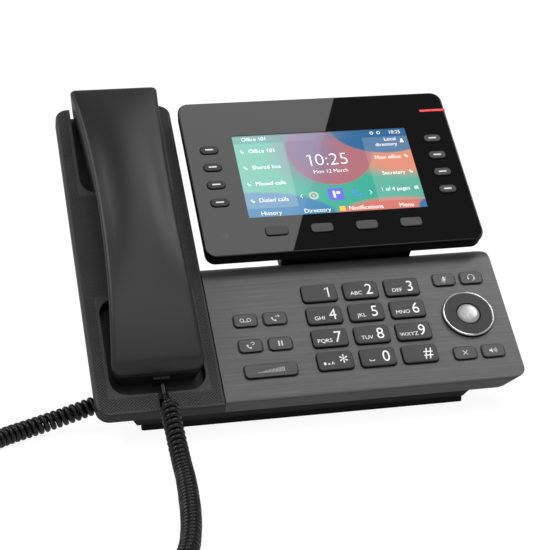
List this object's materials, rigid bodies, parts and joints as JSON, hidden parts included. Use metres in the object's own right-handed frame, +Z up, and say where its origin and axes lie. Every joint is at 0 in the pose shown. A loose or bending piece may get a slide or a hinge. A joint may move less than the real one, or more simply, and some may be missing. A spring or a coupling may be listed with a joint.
{
  "type": "desk ip phone",
  "caption": "Desk IP telephone with a handset in a side cradle, sloping keypad panel, tilting colour display and a coiled handset cord.",
  "frame": {"origin": "on the table under the middle of the phone's box, cord left out", "axes": "+X to the user's right, +Y away from the user, +Z up"},
  "size_m": [0.287, 0.3112, 0.1409],
  "materials": {
    "housing_black": "fine moulded texture",
    "cradle_grey": "dotted texture",
    "panel_brushed": "brushed, dark anodised",
    "dial_key_grey": "satin",
    "feature_key_grey": "satin, brushed to match the panel",
    "nav_black": "black with chromed rim",
    "nav_plastic": "plain",
    "ok_silver": "spun",
    "display_gloss": "high gloss",
    "screen_glass": "gloss",
    "line_key_black": "satin",
    "soft_key_metal": "satin",
    "light_red": "translucent",
    "board_green": "solder mask",
    "mat_silicone": "soft",
    "handset_black": "satin",
    "capsule_black": "plain",
    "cord_black": "gloss jacket",
    "plug_black": "gloss",
    "foot_rubber": "matt",
    "screw_steel": "zinc"
  },
  "bodies": {
    "base": {"base_lower_housing": "housing_black", "cradle_cover": "cradle_grey", "keypad_panel": "panel_brushed", "key_mat": "mat_silicone", "main_board": "board_green", "housing_screws": "screw_steel", "hands_free_speaker": "capsule_black", "footstand": "housing_black", "rubber_feet": "foot_rubber", "display_neck": "housing_black", "base_cord_plug": "plug_black", "cord_coil": "cord_black", "handset_cord_lead": "cord_black"},
    "display": {"display_rear_housing": "housing_black", "display_front_cover": "display_gloss", "lcd_module": "screen_glass", "display_board": "board_green", "message_light": "light_red", "hinge_pin": "screw_steel"},
    "handset": {"handset_outer_shell": "handset_black", "handset_inner_shell": "handset_black", "handset_capsules": "capsule_black", "handset_cord_plug": "plug_black"},
    "hook_switch": {"hook_switch": "housing_black"},
    "volume_rocker": {"volume_rocker": "feature_key_grey"},
    "nav_rocker": {"nav_rocker_plate": "nav_plastic"},
    "nav_ring": {"nav_ring": "nav_black"},
    "ok_button": {"ok_button": "ok_silver"},
    "dial_key_1": {"dial_key_1": "dial_key_grey"},
    "dial_key_2": {"dial_key_2": "dial_key_grey"},
    "dial_key_3": {"dial_key_3": "dial_key_grey"},
    "dial_key_4": {"dial_key_4": "dial_key_grey"},
    "dial_key_5": {"dial_key_5": "dial_key_grey"},
    "dial_key_6": {"dial_key_6": "dial_key_grey"},
    "dial_key_7": {"dial_key_7": "dial_key_grey"},
    "dial_key_8": {"dial_key_8": "dial_key_grey"},
    "dial_key_9": {"dial_key_9": "dial_key_grey"},
    "dial_key_star": {"dial_key_star": "dial_key_grey"},
    "dial_key_0": {"dial_key_0": "dial_key_grey"},
    "dial_key_hash": {"dial_key_hash": "dial_key_grey"},
    "voicemail_key": {"voicemail_key": "feature_key_grey"},
    "forward_key": {"forward_key": "feature_key_grey"},
    "redial_key": {"redial_key": "feature_key_grey"},
    "hold_key": {"hold_key": "feature_key_grey"},
    "mute_key": {"mute_key": "feature_key_grey"},
    "headset_key": {"headset_key": "feature_key_grey"},
    "cancel_key": {"cancel_key": "feature_key_grey"},
    "speaker_key": {"speaker_key": "feature_key_grey"},
    "line_key_left_1": {"line_key_left_1": "line_key_black"},
    "line_key_left_2": {"line_key_left_2": "line_key_black"},
    "line_key_left_3": {"line_key_left_3": "line_key_black"},
    "line_key_left_4": {"line_key_left_4": "line_key_black"},
    "line_key_right_1": {"line_key_right_1": "line_key_black"},
    "line_key_right_2": {"line_key_right_2": "line_key_black"},
    "line_key_right_3": {"line_key_right_3": "line_key_black"},
    "line_key_right_4": {"line_key_right_4": "line_key_black"},
    "soft_key_1": {"soft_key_1": "soft_key_metal"},
    "soft_key_2": {"soft_key_2": "soft_key_metal"},
    "soft_key_3": {"soft_key_3": "soft_key_metal"},
    "soft_key_4": {"soft_key_4": "soft_key_metal"}
  },
  "joints": [
    {"name": "display_tilt", "type": "hinge", "parent": "base", "child": "display", "pos_m": [0.0327, -0.00441, 0.06438], "axis": [1, 0, 0], "range_deg": [0, 15]},
    {"name": "handset_lift", "type": "slide", "parent": "base", "child": "handset", "axis": [0, -0.6074, 0.7944], "range_m": [0, 0.06]},
    {"name": "hook_switch_rise", "type": "slide", "parent": "base", "child": "hook_switch", "axis": [0, -0.6074, 0.7944], "range_m": [0, 0.003]},
    {"name": "volume_rock", "type": "hinge", "parent": "base", "child": "volume_rocker", "pos_m": [-0.0208, -0.06473, 0.02456], "axis": [0, 0.7944, 0.6074], "range_deg": [-2.5, 2.5], "stiffness_Nm_per_rad": 0.3},
    {"name": "nav_tilt_left_right", "type": "hinge", "parent": "base", "child": "nav_rocker", "pos_m": [0.0857, -0.04649, 0.03825], "axis": [0, 0.7944, 0.6074], "range_deg": [-2.5, 2.5], "stiffness_Nm_per_rad": 0.3},
    {"name": "nav_tilt_up_down", "type": "hinge", "parent": "nav_rocker", "child": "nav_ring", "pos_m": [0.0857, -0.04649, 0.03825], "axis": [1, 0, 0], "range_deg": [-2.5, 2.5], "stiffness_Nm_per_rad": 0.3},
    {"name": "ok_button_press", "type": "slide", "parent": "base", "child": "ok_button", "axis": [0, 0.6074, -0.7944], "range_m": [0, 0.0008], "stiffness_N_per_m": 400, "springref_m": -0.001},
    {"name": "dial_key_1_press", "type": "slide", "parent": "base", "child": "dial_key_1", "axis": [0, 0.6074, -0.7944], "range_m": [0, 0.0012], "stiffness_N_per_m": 400, "springref_m": -0.001},
    {"name": "dial_key_2_press", "type": "slide", "parent": "base", "child": "dial_key_2", "axis": [0, 0.6074, -0.7944], "range_m": [0, 0.0012], "stiffness_N_per_m": 400, "springref_m": -0.001},
    {"name": "dial_key_3_press", "type": "slide", "parent": "base", "child": "dial_key_3", "axis": [0, 0.6074, -0.7944], "range_m": [0, 0.0012], "stiffness_N_per_m": 400, "springref_m": -0.001},
    {"name": "dial_key_4_press", "type": "slide", "parent": "base", "child": "dial_key_4", "axis": [0, 0.6074, -0.7944], "range_m": [0, 0.0012], "stiffness_N_per_m": 400, "springref_m": -0.001},
    {"name": "dial_key_5_press", "type": "slide", "parent": "base", "child": "dial_key_5", "axis": [0, 0.6074, -0.7944], "range_m": [0, 0.0012], "stiffness_N_per_m": 400, "springref_m": -0.001},
    {"name": "dial_key_6_press", "type": "slide", "parent": "base", "child": "dial_key_6", "axis": [0, 0.6074, -0.7944], "range_m": [0, 0.0012], "stiffness_N_per_m": 400, "springref_m": -0.001},
    {"name": "dial_key_7_press", "type": "slide", "parent": "base", "child": "dial_key_7", "axis": [0, 0.6074, -0.7944], "range_m": [0, 0.0012], "stiffness_N_per_m": 400, "springref_m": -0.001},
    {"name": "dial_key_8_press", "type": "slide", "parent": "base", "child": "dial_key_8", "axis": [0, 0.6074, -0.7944], "range_m": [0, 0.0012], "stiffness_N_per_m": 400, "springref_m": -0.001},
    {"name": "dial_key_9_press", "type": "slide", "parent": "base", "child": "dial_key_9", "axis": [0, 0.6074, -0.7944], "range_m": [0, 0.0012], "stiffness_N_per_m": 400, "springref_m": -0.001},
    {"name": "dial_key_star_press", "type": "slide", "parent": "base", "child": "dial_key_star", "axis": [0, 0.6074, -0.7944], "range_m": [0, 0.0012], "stiffness_N_per_m": 400, "springref_m": -0.001},
    {"name": "dial_key_0_press", "type": "slide", "parent": "base", "child": "dial_key_0", "axis": [0, 0.6074, -0.7944], "range_m": [0, 0.0012], "stiffness_N_per_m": 400, "springref_m": -0.001},
    {"name": "dial_key_hash_press", "type": "slide", "parent": "base", "child": "dial_key_hash", "axis": [0, 0.6074, -0.7944], "range_m": [0, 0.0012], "stiffness_N_per_m": 400, "springref_m": -0.001},
    {"name": "voicemail_key_press", "type": "slide", "parent": "base", "child": "voicemail_key", "axis": [0, 0.6074, -0.7944], "range_m": [0, 0.0008], "stiffness_N_per_m": 400, "springref_m": -0.001},
    {"name": "forward_key_press", "type": "slide", "parent": "base", "child": "forward_key", "axis": [0, 0.6074, -0.7944], "range_m": [0, 0.0008], "stiffness_N_per_m": 400, "springref_m": -0.001},
    {"name": "redial_key_press", "type": "slide", "parent": "base", "child": "redial_key", "axis": [0, 0.6074, -0.7944], "range_m": [0, 0.0008], "stiffness_N_per_m": 400, "springref_m": -0.001},
    {"name": "hold_key_press", "type": "slide", "parent": "base", "child": "hold_key", "axis": [0, 0.6074, -0.7944], "range_m": [0, 0.0008], "stiffness_N_per_m": 400, "springref_m": -0.001},
    {"name": "mute_key_press", "type": "slide", "parent": "base", "child": "mute_key", "axis": [0, 0.6074, -0.7944], "range_m": [0, 0.0008], "stiffness_N_per_m": 400, "springref_m": -0.001},
    {"name": "headset_key_press", "type": "slide", "parent": "base", "child": "headset_key", "axis": [0, 0.6074, -0.7944], "range_m": [0, 0.0008], "stiffness_N_per_m": 400, "springref_m": -0.001},
    {"name": "cancel_key_press", "type": "slide", "parent": "base", "child": "cancel_key", "axis": [0, 0.6074, -0.7944], "range_m": [0, 0.0008], "stiffness_N_per_m": 400, "springref_m": -0.001},
    {"name": "speaker_key_press", "type": "slide", "parent": "base", "child": "speaker_key", "axis": [0, 0.6074, -0.7944], "range_m": [0, 0.0008], "stiffness_N_per_m": 400, "springref_m": -0.001},
    {"name": "line_key_left_1_press", "type": "slide", "parent": "display", "child": "line_key_left_1", "axis": [0, 0.6074, -0.7944], "range_m": [0, 0.0006], "stiffness_N_per_m": 500, "springref_m": -0.001},
    {"name": "line_key_left_2_press", "type": "slide", "parent": "display", "child": "line_key_left_2", "axis": [0, 0.6074, -0.7944], "range_m": [0, 0.0006], "stiffness_N_per_m": 500, "springref_m": -0.001},
    {"name": "line_key_left_3_press", "type": "slide", "parent": "display", "child": "line_key_left_3", "axis": [0, 0.6074, -0.7944], "range_m": [0, 0.0006], "stiffness_N_per_m": 500, "springref_m": -0.001},
    {"name": "line_key_left_4_press", "type": "slide", "parent": "display", "child": "line_key_left_4", "axis": [0, 0.6074, -0.7944], "range_m": [0, 0.0006], "stiffness_N_per_m": 500, "springref_m": -0.001},
    {"name": "line_key_right_1_press", "type": "slide", "parent": "display", "child": "line_key_right_1", "axis": [0, 0.6074, -0.7944], "range_m": [0, 0.0006], "stiffness_N_per_m": 500, "springref_m": -0.001},
    {"name": "line_key_right_2_press", "type": "slide", "parent": "display", "child": "line_key_right_2", "axis": [0, 0.6074, -0.7944], "range_m": [0, 0.0006], "stiffness_N_per_m": 500, "springref_m": -0.001},
    {"name": "line_key_right_3_press", "type": "slide", "parent": "display", "child": "line_key_right_3", "axis": [0, 0.6074, -0.7944], "range_m": [0, 0.0006], "stiffness_N_per_m": 500, "springref_m": -0.001},
    {"name": "line_key_right_4_press", "type": "slide", "parent": "display", "child": "line_key_right_4", "axis": [0, 0.6074, -0.7944], "range_m": [0, 0.0006], "stiffness_N_per_m": 500, "springref_m": -0.001},
    {"name": "soft_key_1_press", "type": "slide", "parent": "display", "child": "soft_key_1", "axis": [0, 0.6074, -0.7944], "range_m": [0, 0.0006], "stiffness_N_per_m": 500, "springref_m": -0.001},
    {"name": "soft_key_2_press", "type": "slide", "parent": "display", "child": "soft_key_2", "axis": [0, 0.6074, -0.7944], "range_m": [0, 0.0006], "stiffness_N_per_m": 500, "springref_m": -0.001},
    {"name": "soft_key_3_press", "type": "slide", "parent": "display", "child": "soft_key_3", "axis": [0, 0.6074, -0.7944], "range_m": [0, 0.0006], "stiffness_N_per_m": 500, "springref_m": -0.001},
    {"name": "soft_key_4_press", "type": "slide", "parent": "display", "child": "soft_key_4", "axis": [0, 0.6074, -0.7944], "range_m": [0, 0.0006], "stiffness_N_per_m": 500, "springref_m": -0.001}
  ],
  "couplings": [
    {"joint": "hook_switch_rise", "follows": "handset_lift", "ratio": 0.05}
  ]
}
